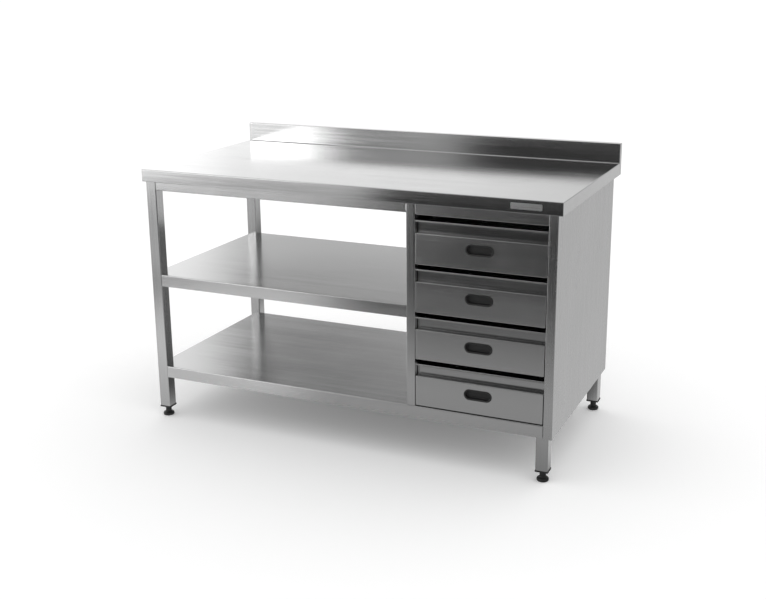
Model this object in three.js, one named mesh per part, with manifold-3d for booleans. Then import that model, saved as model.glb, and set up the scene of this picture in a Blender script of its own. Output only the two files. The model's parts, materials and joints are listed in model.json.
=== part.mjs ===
// Stainless-steel work table with a rear upstand, two open shelves and a cabinet of four drawers.
// Millimetres, +Z up. X runs along the front from left to right, and -Y is the front.
// The origin is on the floor, under the middle of the worktop.
import * as THREE from "three";
import { mergeVertices } from "three/addons/utils/BufferGeometryUtils.js";
import Module from "manifold-3d";

const wasm = await Module();
wasm.setup();

// ---- driving dimensions -------------------------------------------------------------------

const LENGTH = 1400; // worktop, left to right
const DEPTH = 700; // worktop, front edge to the back of the upstand
const WORK_HEIGHT = 850; // floor to working surface
const GAP = 0.3; // between pieces that touch
const PAST = 5; // how far a cutting shape runs past what it cuts
const BITE = 1; // how deep two joined shapes go into each other
const BEND = 1.4; // inner radius of a sheet bend
const ARC_STEPS = 3; // straight steps in the quarter turn of a sheet bend
const TURNED_STEPS = 24; // straight steps round a foot
const ROUND_END_STEPS = 12; // straight steps in each round end of a pull

const TOP_SHEET = 1.2;
const TOP_EDGE = 40; // drop edge of the worktop
const TOP_HEM = 10; // strip folded back inside the drop edge
const HEM_BITE = 0.2; // the hem lies this deep in the drop edge
const SPLASH_HEIGHT = 65;
const SPLASH_DEPTH = 25;
const CORE_THICKNESS = 18;
const CORE_MARGIN = 4; // between the core board and the outside of the drop edge
const CORE_REAR_MARGIN = 6; // between the core board and the upstand

const LEG = 38;
const LEG_WALL = 1.2;
const LEG_CORNER = 3;
const LEG_BOTTOM = 37;
const CAP_FLANGE = 4.5;
const CAP_OVERHANG = 1.2; // how far the end cap's flange stands proud of the leg
const CAP_PLUG = 20;
const FOOT_RADIUS = 18.2;
const PAD_HEIGHT = 12.5;
const WAIST_RADIUS = 9.6;
const STUD_RADIUS = 5;
const STUD_TOP = 78;

const SHEET = 1.2; // rails, shelves and cabinet sides
const FRAME_LEFT = -688; // outer face of the left legs
const FRAME_FRONT = -346; // front plane of legs, rails, shelf edges, cabinet flanges and drawers
const FRAME_REAR = 300; // rear faces of the legs
const SHELF_OVERHANG = 2; // how far the shelves reach behind the legs
const PARTITION_LEFT = 227; // outer face of the partition
const CABINET_RIGHT = 687; // outer face of the side panel
const CABINET_REAR = 311;
const SIDE_PANEL_BOTTOM = 141;
const FLANGE = 28; // front flange of the partition and of the side panel
const FLANGE_RETURN = 32; // how far each front flange turns back into the cabinet
const REAR_FLANGE = 20;
const BACK_FOLD = 14; // folded side edges of the back panel
const RIGHT_LEG_INSET = 11; // from the side panel's outside to the right legs
const RIGHT_LEG_SETBACK = 4; // from the front plane to the front right leg
const UPRIGHT_FRONT = 140;
const UPRIGHT_WIDTH = 40;

const RAIL_BOTTOM = 783;
const RAIL_WIDTH = 25;
const APRON_BOTTOM = 779;
const APRON_CORNER = 6;
const SHELF_EDGE = 39;
const BOTTOM_SHELF = 182; // upper face
const MID_SHELF = 501; // upper face
const STIFFENER_WIDTH = 90;
const STIFFENER_DEPTH = 25;
const STIFFENER_BRIM = 15;
const STIFFENER_MARGIN = 10; // from a leg to the end of a stiffener

const DRAWERS = 4;
const DRAWER_PITCH = 148;
const FIRST_FRONT_BOTTOM = 185.2; // lowest drawer
const DRAWER_SHEET = 1;
const FRONT_HEIGHT = 95; // flat face of a drawer front
const FRONT_CORNER = 1.6;
const FRONT_SIDE_GAP = 1.5;
const FRONT_FOLD = 20; // depth of the folded edges
const CHANNEL_TOP = 134; // top of the grip channel, above the bottom of the front
const CHANNEL_DEPTH = 20;
const LEDGE_START = 6; // where the channel's ledge leaves the folded top edge of the face
const LIP = 4.5;
const BOX_BOTTOM = 8; // above the bottom of the front
const BOX_HEIGHT = 112;
const BOX_LENGTH = 540;

const PULL_HEIGHT = 60; // middle of the pull, above the bottom of the front
const PULL_LENGTH = 88;
const PULL_WIDTH = 34;
const PULL_RIM = 3.5;
const PULL_PROUD = 1.6;
const PULL_DEPTH = 12;
const PULL_WALL = 1.8;

const RUNNER_SPACE = 13; // from a flange's return to the side of a drawer box
const RUNNER_LENGTH = 500;
const RUNNER_HEIGHT = 35;
const RUNNER_NESTING = 9; // how much lower the drawer member is than the cabinet member
const RUNNER_OUTER_DEPTH = 9.5;
const RUNNER_INNER_DEPTH = 10;
const RUNNER_SHEET = 1.2;
const RUNNER_CENTRE = 45; // above the bottom of the front
const RUNNER_START = 40; // behind the front plane

const PLATE = { length: 92, height: 18, thickness: 0.8, corner: 3, fromRight: 60 };

// ---- places worked out from them ----------------------------------------------------------

const CORE_BOTTOM = WORK_HEIGHT - TOP_SHEET - GAP - CORE_THICKNESS;
const FRAME_TOP = CORE_BOTTOM - GAP;
const OPENING_LEFT = PARTITION_LEFT + FLANGE;
const OPENING_RIGHT = CABINET_RIGHT - FLANGE;
const OPENING_MIDDLE = (OPENING_LEFT + OPENING_RIGHT) / 2;
const RIGHT_LEG_LEFT = CABINET_RIGHT - RIGHT_LEG_INSET - LEG;
const RIGHT_LEG_FRONT = FRAME_FRONT + RIGHT_LEG_SETBACK;
const BOX_LEFT = OPENING_LEFT + RUNNER_SPACE;
const BOX_RIGHT = OPENING_RIGHT - RUNNER_SPACE;
const BOX_FRONT = FRAME_FRONT + CHANNEL_DEPTH + DRAWER_SHEET + GAP;

// ---- materials ----------------------------------------------------------------------------

const STEEL = { color: 0xb9bcbe, roughness: 0.35, metalness: 1 };
const DARK_STEEL = { color: 0x9a9da0, roughness: 0.4, metalness: 1 };
const ZINC = { color: 0xa8adb2, roughness: 0.45, metalness: 1 };
const ALUMINIUM = { color: 0xc9cbcd, roughness: 0.3, metalness: 1 };
const BLACK_PLASTIC = { color: 0x17181a, roughness: 0.55, metalness: 0 };
const BOARD = { color: 0xbcbab6, roughness: 0.55, metalness: 0 };

// ---- geometry helpers ---------------------------------------------------------------------

// A geometry as a manifold solid.
function solid(geometry) {
  const bare = geometry.clone();
  bare.deleteAttribute("normal");
  bare.deleteAttribute("uv");
  const merged = mergeVertices(bare, 1e-4);
  return new wasm.Manifold(
    new wasm.Mesh({
      numProp: 3,
      vertProperties: new Float32Array(merged.attributes.position.array),
      triVerts: new Uint32Array(merged.index.array),
    }),
  );
}

// A manifold solid as a geometry.
function geometryOf(manifold) {
  const mesh = manifold.getMesh();
  const geometry = new THREE.BufferGeometry();
  geometry.setAttribute("position", new THREE.BufferAttribute(new Float32Array(mesh.vertProperties), 3));
  geometry.setIndex(new THREE.BufferAttribute(new Uint32Array(mesh.triVerts), 1));
  const flat = geometry.toNonIndexed();
  flat.computeVertexNormals();
  return flat;
}

function block([x0, y0, z0], [x1, y1, z1]) {
  const box = new THREE.BoxGeometry(x1 - x0, y1 - y0, z1 - z0);
  return solid(box.translate((x0 + x1) / 2, (y0 + y1) / 2, (z0 + z1) / 2));
}

const UNIT = { x: new THREE.Vector3(1, 0, 0), y: new THREE.Vector3(0, 1, 0), z: new THREE.Vector3(0, 0, 1) };
const TURN = {
  x: new THREE.Matrix4().makeBasis(UNIT.y, UNIT.z, UNIT.x),
  y: new THREE.Matrix4().makeBasis(UNIT.z, UNIT.x, UNIT.y),
  z: new THREE.Matrix4(),
};

// Extrudes an outline along X (drawn in y, z), along Y (drawn in z, x) or along Z (drawn in x, y).
// Each arc of the outline gets twice arcSteps straight steps.
function extrude(outline, axis, from, to, arcSteps = 2) {
  const options = { depth: to - from, bevelEnabled: false, curveSegments: arcSteps };
  const geometry = new THREE.ExtrudeGeometry(outline, options);
  return solid(geometry.translate(0, 0, from).applyMatrix4(TURN[axis]));
}

// Rounds the corners of an open path; radii[i] belongs to points[i].
function rounded(points, radii) {
  const path = [];
  points.forEach((corner, i) => {
    if (i === 0 || i === points.length - 1 || radii[i] === 0) {
      path.push(corner);
      return;
    }
    const back = points[i - 1].clone().sub(corner).normalize();
    const ahead = points[i + 1].clone().sub(corner).normalize();
    const half = Math.acos(back.dot(ahead)) / 2;
    const centre = back.clone().add(ahead).normalize().multiplyScalar(radii[i] / Math.sin(half)).add(corner);
    const start = corner.clone().addScaledVector(back, radii[i] / Math.tan(half));
    const turn = -Math.sign(back.cross(ahead)) * (Math.PI - 2 * half);
    for (let step = 0; step <= ARC_STEPS; step += 1) {
      path.push(start.clone().rotateAround(centre, (turn * step) / ARC_STEPS));
    }
  });
  return path;
}

const vectors = (points) => points.map(([a, b]) => new THREE.Vector2(a, b));

// The section of a bent sheet. The points lie on one face of it, and the metal is on the
// right-hand side of the direction in which they run.
function bentSheet(points, thickness) {
  const face = vectors(points);
  const along = face.slice(1).map((p, i) => p.clone().sub(face[i]).normalize());
  const right = along.map((d) => new THREE.Vector2(d.y, -d.x));
  const other = face.map((p, i) => {
    const before = right[Math.max(i - 1, 0)];
    const after = right[Math.min(i, right.length - 1)];
    return p.clone().addScaledVector(before.clone().add(after), thickness / (1 + before.dot(after)));
  });
  const turnsLeft = face.map((_, i) => i > 0 && i < along.length && along[i - 1].cross(along[i]) > 0);
  const faceRadii = turnsLeft.map((left) => (left ? BEND : BEND + thickness));
  const otherRadii = turnsLeft.map((left) => (left ? BEND + thickness : BEND));
  return new THREE.Shape([...rounded(face, faceRadii), ...rounded(other, otherRadii).reverse()]);
}

// C-section for a piece along X or Z: its web lies at one place, and its two flanges end at the other.
function channel(web, ends, low, high, thickness) {
  const path = [[ends, low], [web, low], [web, high], [ends, high]];
  return bentSheet(web < ends ? path : path.reverse(), thickness);
}

// The same for a piece along Y, whose section is drawn in z, x.
function channelAlongY(web, ends, low, high, thickness) {
  const path = [[high, ends], [high, web], [low, web], [low, ends]];
  return bentSheet(web < ends ? path : path.reverse(), thickness);
}

function roundedRectangle([x0, y0], [x1, y1], r, outline = new THREE.Shape()) {
  outline.absarc(x1 - r, y0 + r, r, -Math.PI / 2, 0);
  outline.absarc(x1 - r, y1 - r, r, 0, Math.PI / 2);
  outline.absarc(x0 + r, y1 - r, r, Math.PI / 2, Math.PI);
  outline.absarc(x0 + r, y0 + r, r, Math.PI, 1.5 * Math.PI);
  return outline;
}

// Shallow pan seen from the front, with rounded corners, folded edges and an open back.
function pan([x0, z0], [x1, z1], depth, thickness, r) {
  const t = thickness;
  const outside = roundedRectangle([z0, x0], [z1, x1], r);
  const inside = roundedRectangle([z0 + t, x0 + t], [z1 - t, x1 - t], Math.max(r - t, 0.4));
  const shell = extrude(outside, "y", FRAME_FRONT, FRAME_FRONT + depth);
  return shell.subtract(extrude(inside, "y", FRAME_FRONT + t, FRAME_FRONT + depth + PAST));
}

// ---- worktop and top frame ----------------------------------------------------------------

// Outline, seen from the right, of the worktop with its upstand, shrunk by inset.
function worktopOutline(inset, bottom) {
  const front = -DEPTH / 2 + inset;
  const rear = DEPTH / 2 - inset;
  const splash = DEPTH / 2 - SPLASH_DEPTH + inset;
  const surface = WORK_HEIGHT - inset;
  const crest = WORK_HEIGHT + SPLASH_HEIGHT - inset;
  const outer = BEND + TOP_SHEET - inset;
  const corners = [
    [front, bottom],
    [rear, bottom],
    [rear, crest],
    [splash, crest],
    [splash, surface],
    [front, surface],
  ];
  const closed = vectors([...corners, corners[0]]);
  return new THREE.Shape(rounded(closed, [0, 0, outer, outer, BEND + inset, outer, 0]).slice(0, -1));
}

function worktop() {
  const bottom = WORK_HEIGHT - TOP_EDGE;
  const end = LENGTH / 2;
  const outside = extrude(worktopOutline(0, bottom), "x", -end, end);
  const hollow = extrude(worktopOutline(TOP_SHEET, bottom - PAST), "x", TOP_SHEET - end, end - TOP_SHEET);
  const hemFront = TOP_SHEET - DEPTH / 2 - HEM_BITE;
  const hemEnd = end - TOP_SHEET + HEM_BITE;
  const hem = block([-hemEnd, hemFront, bottom], [hemEnd, hemFront + TOP_SHEET, bottom + TOP_HEM]);
  return outside.subtract(hollow).add(hem);
}

// The core stops short of the upstand, whose hollow is open downwards behind it.
function coreBoard() {
  const x = LENGTH / 2 - CORE_MARGIN;
  const front = CORE_MARGIN - DEPTH / 2;
  const rear = DEPTH / 2 - SPLASH_DEPTH - CORE_REAR_MARGIN;
  return block([-x, front, CORE_BOTTOM], [x, rear, CORE_BOTTOM + CORE_THICKNESS]);
}

function longRail(web, ends) {
  const section = channel(web, ends, RAIL_BOTTOM, FRAME_TOP, SHEET);
  return extrude(section, "x", FRAME_LEFT + LEG + GAP, PARTITION_LEFT - GAP);
}

function endRail() {
  const section = channelAlongY(FRAME_LEFT, FRAME_LEFT + RAIL_WIDTH, RAIL_BOTTOM, FRAME_TOP, SHEET);
  return extrude(section, "y", FRAME_FRONT + LEG + GAP, FRAME_REAR - LEG - GAP);
}

// ---- legs and feet ------------------------------------------------------------------------

function leg(x, y, top) {
  const w = LEG_WALL;
  const tube = roundedRectangle([x, y], [x + LEG, y + LEG], LEG_CORNER);
  const bore = [[x + w, y + w], [x + LEG - w, y + LEG - w]];
  tube.holes.push(roundedRectangle(...bore, LEG_CORNER - w, new THREE.Path()));
  return extrude(tube, "z", LEG_BOTTOM, top);
}

function endCap(x, y) {
  const square = (half, r, low, high) => {
    const outline = roundedRectangle([x - half, y - half], [x + half, y + half], r);
    const bore = new THREE.EllipseCurve(x, y, STUD_RADIUS + GAP, STUD_RADIUS + GAP);
    outline.holes.push(new THREE.Path(bore.getPoints(TURNED_STEPS).slice(0, -1)));
    return extrude(outline, "z", low, high);
  };
  const under = LEG_BOTTOM - GAP;
  const flange = square(LEG / 2 + CAP_OVERHANG, LEG_CORNER, under - CAP_FLANGE, under);
  const plug = square(LEG / 2 - LEG_WALL - GAP, LEG_CORNER - LEG_WALL, under - BITE, under + CAP_PLUG);
  return flange.add(plug);
}

// Pad, waist and threaded stud, moulded together and turned about a vertical axis.
function foot(x, y) {
  const neckTop = LEG_BOTTOM - GAP - CAP_FLANGE - GAP;
  // Each corner is [distance from the axis, height, rounding].
  const corners = [
    [0, 0, 0],
    [FOOT_RADIUS, 0, 5.5],
    [FOOT_RADIUS, PAD_HEIGHT, 5],
    [WAIST_RADIUS, PAD_HEIGHT + 3, 4],
    [WAIST_RADIUS, neckTop, 0],
    [STUD_RADIUS, neckTop, 0],
    [STUD_RADIUS, STUD_TOP, 0.8],
    [0, STUD_TOP, 0],
  ];
  const radii = corners.map((corner) => corner[2]);
  const geometry = new THREE.LatheGeometry(rounded(vectors(corners), radii), TURNED_STEPS);
  return solid(geometry.rotateX(Math.PI / 2).translate(x, y, 0));
}

// ---- shelves ------------------------------------------------------------------------------

// An inverted tray whose four edges are folded down, with pieces cut out for what passes it.
function shelf(right, top, notches) {
  const low = top - SHELF_EDGE;
  const rear = FRAME_REAR + SHELF_OVERHANG;
  const t = SHEET;
  const r = BEND + t;
  const corners = [[FRAME_FRONT, low], [rear, low], [rear, top], [FRAME_FRONT, top]];
  const closed = vectors([...corners, corners[0]]);
  const outline = new THREE.Shape(rounded(closed, [0, 0, r, r, 0]).slice(0, -1));
  const hollow = block([FRAME_LEFT + t, FRAME_FRONT + t, low - PAST], [right - t, rear - t, top - t]);
  const tray = extrude(outline, "x", FRAME_LEFT, right).subtract(hollow);
  const cutters = notches.map(([x0, y0, x1, y1]) => block([x0, y0, low - PAST], [x1, y1, top + PAST]));
  return cutters.reduce((rest, cutter) => rest.subtract(cutter), tray);
}

const legNotches = [
  [FRAME_LEFT - PAST, FRAME_FRONT - PAST, FRAME_LEFT + LEG + GAP, FRAME_FRONT + LEG + GAP],
  [FRAME_LEFT - PAST, FRAME_REAR - LEG - GAP, FRAME_LEFT + LEG + GAP, FRAME_REAR + PAST],
];

function midShelf() {
  return shelf(PARTITION_LEFT - GAP, MID_SHELF, legNotches);
}

function bottomShelf() {
  const notchRear = FRAME_FRONT + SHEET + BEND + GAP;
  const flangeNotch = [OPENING_RIGHT - GAP, FRAME_FRONT - PAST, CABINET_RIGHT, notchRear];
  return shelf(CABINET_RIGHT - SHEET - GAP, BOTTOM_SHELF, [...legNotches, flangeNotch]);
}

// Hat-shaped stiffener under a shelf, along its middle.
function stiffener(left, right, shelfTop) {
  const top = shelfTop - SHEET - GAP;
  const middle = (FRAME_FRONT + FRAME_REAR) / 2;
  const half = STIFFENER_WIDTH / 2;
  const path = [
    [middle - half - STIFFENER_BRIM, top],
    [middle - half, top],
    [middle - half, top - STIFFENER_DEPTH],
    [middle + half, top - STIFFENER_DEPTH],
    [middle + half, top],
    [middle + half + STIFFENER_BRIM, top],
  ];
  return extrude(bentSheet(path, SHEET), "x", left, right);
}

// ---- drawer cabinet -----------------------------------------------------------------------

// A side sheet with a front flange, its return, and a rear flange; hand is 1 on the right.
function cabinetSide(outer, hand, bottom) {
  const flange = outer - hand * FLANGE;
  const path = [
    [outer - hand * REAR_FLANGE, CABINET_REAR],
    [outer, CABINET_REAR],
    [outer, FRAME_FRONT],
    [flange, FRAME_FRONT],
    [flange, FRAME_FRONT + FLANGE_RETURN],
  ];
  return extrude(bentSheet(hand > 0 ? path : path.reverse(), SHEET), "z", bottom, FRAME_TOP);
}

function partition() {
  return cabinetSide(PARTITION_LEFT, -1, BOTTOM_SHELF + GAP);
}

// Beside the bottom shelf, only the side sheet and its front flange go down past it.
function sidePanel() {
  const relief = block(
    [OPENING_RIGHT - PAST, FRAME_FRONT + SHEET + BEND, SIDE_PANEL_BOTTOM - PAST],
    [CABINET_RIGHT - SHEET, CABINET_REAR + PAST, BOTTOM_SHELF + GAP],
  );
  return cabinetSide(CABINET_RIGHT, 1, SIDE_PANEL_BOTTOM).subtract(relief);
}

function backPanel() {
  const y = CABINET_REAR - SHEET - GAP;
  const margin = SHEET + BEND + 1;
  const left = PARTITION_LEFT + margin;
  const right = CABINET_RIGHT - margin;
  const path = [[left, y - BACK_FOLD], [left, y], [right, y], [right, y - BACK_FOLD]];
  const section = bentSheet(path, SHEET);
  return extrude(section, "z", BOTTOM_SHELF + GAP, FRAME_TOP);
}

function apron() {
  const low = [OPENING_LEFT + GAP, APRON_BOTTOM];
  const high = [OPENING_RIGHT - GAP, FRAME_TOP];
  return pan(low, high, FRONT_FOLD, SHEET, APRON_CORNER);
}

// Upright that carries the rear ends of one side's runners.
function runnerUpright(outer, hand) {
  const web = outer - hand * FLANGE;
  const ends = outer - hand * (SHEET + GAP);
  const section = channel(web, ends, UPRIGHT_FRONT, UPRIGHT_FRONT + UPRIGHT_WIDTH, SHEET);
  return extrude(section, "z", BOTTOM_SHELF + GAP, FRAME_TOP);
}

// ---- drawers ------------------------------------------------------------------------------

// A block along Y with two flat sides and two round ends, in the middle of a drawer front.
function obround(z, length, width, front, back) {
  const r = width / 2;
  const reach = length / 2 - r;
  const outline = new THREE.Shape();
  outline.absarc(z, OPENING_MIDDLE + reach, r, 0, Math.PI);
  outline.absarc(z, OPENING_MIDDLE - reach, r, Math.PI, 2 * Math.PI);
  return extrude(outline, "y", front, back, ROUND_END_STEPS / 2);
}

// Flat face with folded edges and a hole for the pull; above it a ledge, a riser and a lip
// form a grip channel across the whole front.
function drawerFront(bottom) {
  const left = OPENING_LEFT + FRONT_SIDE_GAP;
  const right = OPENING_RIGHT - FRONT_SIDE_GAP;
  const t = DRAWER_SHEET;
  const ledge = bottom + FRONT_HEIGHT;
  const riser = FRAME_FRONT + CHANNEL_DEPTH;
  const lipUnderside = bottom + CHANNEL_TOP - t;
  const channelPath = [
    [FRAME_FRONT + LEDGE_START, ledge],
    [riser, ledge],
    [riser, lipUnderside],
    [FRAME_FRONT + t, lipUnderside],
    [FRAME_FRONT + t, bottom + CHANNEL_TOP - LIP],
  ];
  const face = pan([left, bottom], [right, ledge], FRONT_FOLD, t, FRONT_CORNER);
  const around = 2 * GAP - 2 * PULL_RIM;
  const z = bottom + PULL_HEIGHT;
  const through = [FRAME_FRONT - PAST, FRAME_FRONT + PAST];
  const hole = obround(z, PULL_LENGTH + around, PULL_WIDTH + around, ...through);
  return face.add(extrude(bentSheet(channelPath, t), "x", left, right)).subtract(hole);
}

// Recessed cup pushed through the hole from the front, with a rim that rests on the face.
function pull(bottom) {
  const z = bottom + PULL_HEIGHT;
  const length = PULL_LENGTH - 2 * PULL_RIM;
  const width = PULL_WIDTH - 2 * PULL_RIM;
  const back = FRAME_FRONT + PULL_DEPTH;
  const rim = obround(z, PULL_LENGTH, PULL_WIDTH, FRAME_FRONT - PULL_PROUD, FRAME_FRONT - GAP);
  const body = obround(z, length, width, FRAME_FRONT - BITE, back);
  const walls = 2 * PULL_WALL;
  const cup = obround(z, length - walls, width - walls, FRAME_FRONT - PAST, back - PULL_WALL);
  return rim.add(body).subtract(cup);
}

function drawerBox(bottom) {
  const low = bottom + BOX_BOTTOM;
  const high = low + BOX_HEIGHT;
  const t = DRAWER_SHEET;
  const rear = BOX_FRONT + BOX_LENGTH;
  const path = [[high, BOX_LEFT], [low, BOX_LEFT], [low, BOX_RIGHT], [high, BOX_RIGHT]];
  const trough = extrude(bentSheet(path, t), "y", BOX_FRONT, rear);
  const wall = (y) => block([BOX_LEFT + t / 2, y, low + t / 2], [BOX_RIGHT - t / 2, y + t, high]);
  return trough.add(wall(BOX_FRONT)).add(wall(rear - t));
}

// The two members of a runner; hand is 1 on the right.
function cabinetRunner(bottom, hand) {
  const web = (hand > 0 ? OPENING_RIGHT : OPENING_LEFT) - hand * GAP;
  return runnerMember(bottom, web, web - hand * RUNNER_OUTER_DEPTH, RUNNER_HEIGHT);
}

function drawerRunner(bottom, hand) {
  const web = (hand > 0 ? BOX_RIGHT : BOX_LEFT) + hand * GAP;
  return runnerMember(bottom, web, web + hand * RUNNER_INNER_DEPTH, RUNNER_HEIGHT - RUNNER_NESTING);
}

function runnerMember(bottom, web, ends, height) {
  const middle = bottom + RUNNER_CENTRE;
  const start = FRAME_FRONT + RUNNER_START;
  const section = channelAlongY(web, ends, middle - height / 2, middle + height / 2, RUNNER_SHEET);
  return extrude(section, "y", start, start + RUNNER_LENGTH);
}

// Blank plate on the drop edge of the worktop.
function namePlate() {
  const right = LENGTH / 2 - PLATE.fromRight;
  const middle = WORK_HEIGHT - TOP_EDGE / 2;
  const outline = roundedRectangle(
    [middle - PLATE.height / 2, right - PLATE.length],
    [middle + PLATE.height / 2, right],
    PLATE.corner,
  );
  return extrude(outline, "y", -DEPTH / 2 - PLATE.thickness - GAP, -DEPTH / 2 - GAP);
}

// ---- assembly -----------------------------------------------------------------------------

const table = new THREE.Group();

function add(name, shape, finish) {
  const mesh = new THREE.Mesh(geometryOf(shape), new THREE.MeshStandardMaterial(finish));
  mesh.name = name;
  table.add(mesh);
}

add("worktop", worktop(), STEEL);
add("core_board", coreBoard(), BOARD);
add("front_rail", longRail(FRAME_FRONT, FRAME_FRONT + RAIL_WIDTH), STEEL);
add("rear_rail", longRail(FRAME_REAR, FRAME_REAR - RAIL_WIDTH), STEEL);
add("left_rail", endRail(), STEEL);
add("name_plate", namePlate(), ALUMINIUM);

const rearLegFront = FRAME_REAR - LEG;
const shortLegTop = BOTTOM_SHELF - SHEET - GAP;
const legs = [
  ["front_left", FRAME_LEFT, FRAME_FRONT, FRAME_TOP],
  ["rear_left", FRAME_LEFT, rearLegFront, FRAME_TOP],
  ["front_right", RIGHT_LEG_LEFT, RIGHT_LEG_FRONT, shortLegTop],
  ["rear_right", RIGHT_LEG_LEFT, rearLegFront, shortLegTop],
];
for (const [corner, x, y, top] of legs) {
  add(`leg_${corner}`, leg(x, y, top), STEEL);
  add(`end_cap_${corner}`, endCap(x + LEG / 2, y + LEG / 2), BLACK_PLASTIC);
  add(`foot_${corner}`, foot(x + LEG / 2, y + LEG / 2), BLACK_PLASTIC);
}

const stiffenerLeft = FRAME_LEFT + LEG + STIFFENER_MARGIN;
const midStiffenerRight = PARTITION_LEFT - 2 * STIFFENER_MARGIN;
const bottomStiffenerRight = RIGHT_LEG_LEFT - STIFFENER_MARGIN;
add("mid_shelf", midShelf(), STEEL);
add("mid_shelf_stiffener", stiffener(stiffenerLeft, midStiffenerRight, MID_SHELF), DARK_STEEL);
add("bottom_shelf", bottomShelf(), STEEL);
add("bottom_shelf_stiffener", stiffener(stiffenerLeft, bottomStiffenerRight, BOTTOM_SHELF), DARK_STEEL);

add("partition", partition(), STEEL);
add("side_panel", sidePanel(), STEEL);
add("back_panel", backPanel(), STEEL);
add("apron", apron(), STEEL);
add("runner_upright_left", runnerUpright(PARTITION_LEFT, -1), DARK_STEEL);
add("runner_upright_right", runnerUpright(CABINET_RIGHT, 1), DARK_STEEL);

// Drawer 1 is the top one.
for (let drawer = 1; drawer <= DRAWERS; drawer += 1) {
  const bottom = FIRST_FRONT_BOTTOM + (DRAWERS - drawer) * DRAWER_PITCH;
  add(`drawer_${drawer}_front`, drawerFront(bottom), STEEL);
  add(`drawer_${drawer}_pull`, pull(bottom), BLACK_PLASTIC);
  add(`drawer_${drawer}_box`, drawerBox(bottom), STEEL);
  for (const [side, hand] of [["left", -1], ["right", 1]]) {
    add(`drawer_${drawer}_runner_${side}`, drawerRunner(bottom, hand), ZINC);
    add(`cabinet_${drawer}_runner_${side}`, cabinetRunner(bottom, hand), ZINC);
  }
}

export default table;
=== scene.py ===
"""Looks of a stainless-steel work table: two open shelves on the left, four drawers on the right.

Everything is in metres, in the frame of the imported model: X along the front, -Y the front, Z up.
This script gives the CAD nodes their finish and rounds their cut edges. It puts detailed pieces in the
place of the worktop, the apron, the drawer fronts, the pulls and the feet, adds the runners' screws, and
lights the scene.
"""
import json
import math

import bmesh
import bpy
from mathutils import Matrix, Vector


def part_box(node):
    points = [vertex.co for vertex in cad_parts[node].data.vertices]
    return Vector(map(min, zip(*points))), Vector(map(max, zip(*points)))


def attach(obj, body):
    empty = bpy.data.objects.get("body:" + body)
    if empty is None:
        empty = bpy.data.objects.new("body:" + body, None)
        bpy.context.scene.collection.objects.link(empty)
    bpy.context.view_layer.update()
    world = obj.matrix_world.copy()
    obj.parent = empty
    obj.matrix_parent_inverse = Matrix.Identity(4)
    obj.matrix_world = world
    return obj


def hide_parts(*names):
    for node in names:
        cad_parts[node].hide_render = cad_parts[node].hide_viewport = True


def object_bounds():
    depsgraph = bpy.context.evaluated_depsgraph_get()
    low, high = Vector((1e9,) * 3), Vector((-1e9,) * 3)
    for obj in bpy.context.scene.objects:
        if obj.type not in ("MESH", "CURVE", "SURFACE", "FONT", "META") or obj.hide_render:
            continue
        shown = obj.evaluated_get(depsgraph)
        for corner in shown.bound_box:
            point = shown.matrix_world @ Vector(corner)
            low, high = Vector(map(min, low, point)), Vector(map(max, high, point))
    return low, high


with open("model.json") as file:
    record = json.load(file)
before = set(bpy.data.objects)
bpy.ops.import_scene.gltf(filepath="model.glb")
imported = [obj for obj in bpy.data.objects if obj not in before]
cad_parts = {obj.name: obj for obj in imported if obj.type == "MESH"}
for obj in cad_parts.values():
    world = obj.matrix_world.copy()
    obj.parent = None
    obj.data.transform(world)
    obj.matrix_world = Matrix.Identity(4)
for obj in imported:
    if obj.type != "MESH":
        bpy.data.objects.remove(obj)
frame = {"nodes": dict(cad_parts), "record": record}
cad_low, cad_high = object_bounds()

MM = 0.001
nodes = frame["nodes"]
bodies = frame["record"]["behaviour"]["bodies"]
body_of_node = {node: body for body, members in bodies.items() for node in members}


# ---- camera ---------------------------------------------------------------------------------

LENS = 52.3598  # millimetres, on a sensor 36 mm wide
SHIFT_RIGHT = -0.025457  # of the image's width
SHIFT_UP = -0.032245
CAMERA_PLACE = Vector((1.4915, -3.2663, 1.4752))
YAW = math.radians(23.6)
PITCH_DOWN = math.radians(15.5)
ROLL = math.radians(-0.3)


def add_camera():
    data = bpy.data.cameras.new("camera")
    data.sensor_fit = "HORIZONTAL"
    data.lens = LENS
    data.shift_x = SHIFT_RIGHT
    data.shift_y = SHIFT_UP
    data.clip_start, data.clip_end = 0.05, 100
    camera = bpy.data.objects.new("camera", data)
    tilt = Matrix.Rotation(math.radians(90) - PITCH_DOWN, 4, "X")
    turn = Matrix.Rotation(YAW, 4, "Z") @ tilt @ Matrix.Rotation(ROLL, 4, "Z")
    camera.matrix_world = Matrix.Translation(CAMERA_PLACE) @ turn
    bpy.context.scene.collection.objects.link(camera)
    bpy.context.scene.camera = camera


# ---- node helpers ---------------------------------------------------------------------------

RAMP_TOP = 8.0  # the largest number that a ramp can hold


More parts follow.
